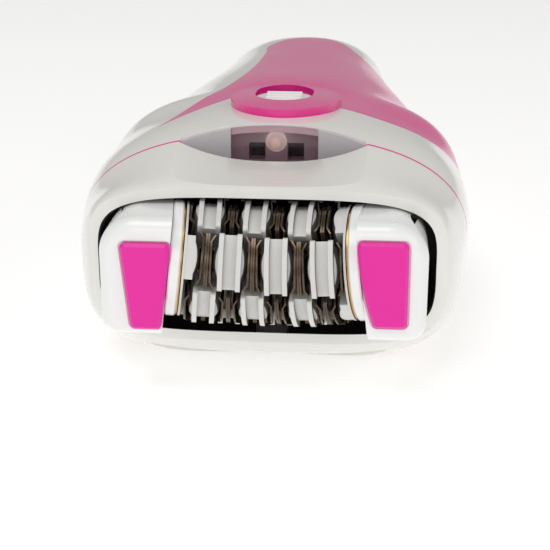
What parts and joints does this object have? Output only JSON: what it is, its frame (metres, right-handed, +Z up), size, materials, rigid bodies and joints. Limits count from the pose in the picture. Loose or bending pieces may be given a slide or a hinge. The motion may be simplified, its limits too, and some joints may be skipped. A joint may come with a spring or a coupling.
{
  "type": "epilator",
  "caption": "Hand-held tweezer-disc epilator with a pull-off head, end caps with soft pads, a skin lamp, a slide switch and a charging jack.",
  "frame": {"origin": "bottom centre of the whole object lying on its back", "axes": "+X across the head, +Y from the tweezer drum to the charging end, +Z up out of the front face"},
  "size_m": [0.0668, 0.1416, 0.0401],
  "materials": {
    "white_shell": "glossy moulded plastic, white",
    "pink_gloss": "glossy moulded plastic, strong pink",
    "disc_plastic": "satin white moulded plastic",
    "tweezer_steel": "thin spring steel, slightly brown",
    "brass": "bright brass",
    "dark_plastic": "near-black moulded plastic",
    "grey_plastic": "satin grey moulded plastic",
    "clear_window": "clear moulded window, faint pink",
    "lamp_lens": "clear lamp lens",
    "gear_plastic": "natural acetal",
    "board_green": "green circuit board",
    "cell_wrap": "blue shrink wrap"
  },
  "bodies": {
    "handle": {"front_housing": "white_shell", "rear_housing": "white_shell", "front_cover": "pink_gloss", "seam_gasket": "pink_gloss", "led_holder": "grey_plastic", "led_window": "clear_window", "led_lamp": "lamp_lens", "lamp_board": "dark_plastic", "circuit_board": "board_green", "battery_cells": "cell_wrap", "battery_cradle": "dark_plastic", "charge_jack": "tweezer_steel", "housing_screws": "tweezer_steel", "gearbox_frame": "dark_plastic", "motor_can": "tweezer_steel", "release_spring": "tweezer_steel"},
    "head": {"head_shell": "white_shell", "drum_chamber": "dark_plastic", "left_cap": "white_shell", "right_cap": "white_shell", "left_pad": "pink_gloss", "right_pad": "pink_gloss", "left_bracket": "dark_plastic", "right_bracket": "dark_plastic", "left_washer": "brass", "right_washer": "brass", "left_pressure_ring": "disc_plastic", "right_pressure_ring": "disc_plastic", "drum_axle": "tweezer_steel", "head_guides": "dark_plastic", "latch_ledge": "dark_plastic"},
    "motor_rotor": {"motor_shaft": "tweezer_steel", "motor_armature": "tweezer_steel", "motor_pinion": "brass"},
    "transfer": {"transfer_shaft": "tweezer_steel", "transfer_pinion": "gear_plastic", "crown_gear": "gear_plastic"},
    "idler": {"idler_gear": "gear_plastic"},
    "drum_drive": {"drum_gear": "gear_plastic"},
    "left_end": {"left_end_disc": "disc_plastic", "left_end_leaves": "tweezer_steel"},
    "right_end": {"right_end_disc": "disc_plastic", "right_end_leaves": "tweezer_steel"},
    "release": {"release_button": "grey_plastic"},
    "slider": {"speed_slider": "disc_plastic"},
    "disc_1": {"tweezer_disc_1": "disc_plastic", "tweezer_leaves_1": "tweezer_steel"},
    "disc_2": {"tweezer_disc_2": "disc_plastic", "tweezer_leaves_2": "tweezer_steel"},
    "disc_3": {"tweezer_disc_3": "disc_plastic", "tweezer_leaves_3": "tweezer_steel"},
    "disc_4": {"tweezer_disc_4": "disc_plastic", "tweezer_leaves_4": "tweezer_steel"},
    "disc_5": {"tweezer_disc_5": "disc_plastic", "tweezer_leaves_5": "tweezer_steel"},
    "disc_6": {"tweezer_disc_6": "disc_plastic", "tweezer_leaves_6": "tweezer_steel"}
  },
  "joints": [
    {"name": "head_pull_off", "type": "slide", "parent": "handle", "child": "head", "axis": [0, -1, 0], "range_m": [0, 0.03]},
    {"name": "motor_spin", "type": "hinge", "parent": "handle", "child": "motor_rotor", "pos_m": [0, -0.03548, 0.02081], "axis": [0, 1, 0], "continuous": true},
    {"name": "transfer_spin", "type": "hinge", "parent": "handle", "child": "transfer", "pos_m": [-0.01, -0.04148, 0.02081], "axis": [1, 0, 0], "continuous": true},
    {"name": "idler_spin", "type": "hinge", "parent": "head", "child": "idler", "pos_m": [-0.0202, -0.04929, 0.02081], "axis": [1, 0, 0], "continuous": true},
    {"name": "drum_gear_spin", "type": "hinge", "parent": "head", "child": "drum_drive", "pos_m": [-0.0202, -0.0611, 0.02081], "axis": [1, 0, 0], "continuous": true},
    {"name": "left_end_spin", "type": "hinge", "parent": "head", "child": "left_end", "pos_m": [-0.01348, -0.0611, 0.02081], "axis": [0.9849, 0.1285, -0.1157], "continuous": true},
    {"name": "disc_1_spin", "type": "hinge", "parent": "head", "child": "disc_1", "pos_m": [-0.00945, -0.06065, 0.0204], "axis": [0.9925, 0.091, -0.082], "continuous": true},
    {"name": "disc_2_spin", "type": "hinge", "parent": "head", "child": "disc_2", "pos_m": [-0.00554, -0.06036, 0.02015], "axis": [0.9973, 0.0547, -0.0493], "continuous": true},
    {"name": "disc_3_spin", "type": "hinge", "parent": "head", "child": "disc_3", "pos_m": [-0.00161, -0.06022, 0.02002], "axis": [0.9997, 0.0183, -0.0164], "continuous": true},
    {"name": "disc_4_spin", "type": "hinge", "parent": "head", "child": "disc_4", "pos_m": [0.00231, -0.06022, 0.02002], "axis": [0.9997, -0.0183, 0.0164], "continuous": true},
    {"name": "disc_5_spin", "type": "hinge", "parent": "head", "child": "disc_5", "pos_m": [0.00624, -0.06036, 0.02015], "axis": [0.9973, -0.0547, 0.0493], "continuous": true},
    {"name": "disc_6_spin", "type": "hinge", "parent": "head", "child": "disc_6", "pos_m": [0.01015, -0.06065, 0.0204], "axis": [0.9925, -0.091, 0.082], "continuous": true},
    {"name": "right_end_spin", "type": "hinge", "parent": "head", "child": "right_end", "pos_m": [0.01418, -0.0611, 0.02081], "axis": [0.9849, -0.1285, 0.1157], "continuous": true},
    {"name": "release_press", "type": "slide", "parent": "handle", "child": "release", "axis": [0, 0, 1], "range_m": [0, 0.0012], "stiffness_N_per_m": 800, "deforming": ["release_spring"]},
    {"name": "speed_slide", "type": "slide", "parent": "handle", "child": "slider", "axis": [0, 1, 0], "range_m": [0, 0.004]}
  ],
  "couplings": [
    {"joint": "transfer_spin", "follows": "motor_spin", "ratio": 0.33333},
    {"joint": "idler_spin", "follows": "motor_spin", "ratio": -0.21053},
    {"joint": "drum_gear_spin", "follows": "motor_spin", "ratio": 0.14286},
    {"joint": "left_end_spin", "follows": "motor_spin", "ratio": 0.14286},
    {"joint": "disc_1_spin", "follows": "motor_spin", "ratio": 0.14286},
    {"joint": "disc_2_spin", "follows": "motor_spin", "ratio": 0.14286},
    {"joint": "disc_3_spin", "follows": "motor_spin", "ratio": 0.14286},
    {"joint": "disc_4_spin", "follows": "motor_spin", "ratio": 0.14286},
    {"joint": "disc_5_spin", "follows": "motor_spin", "ratio": 0.14286},
    {"joint": "disc_6_spin", "follows": "motor_spin", "ratio": 0.14286},
    {"joint": "right_end_spin", "follows": "motor_spin", "ratio": 0.14286}
  ]
}
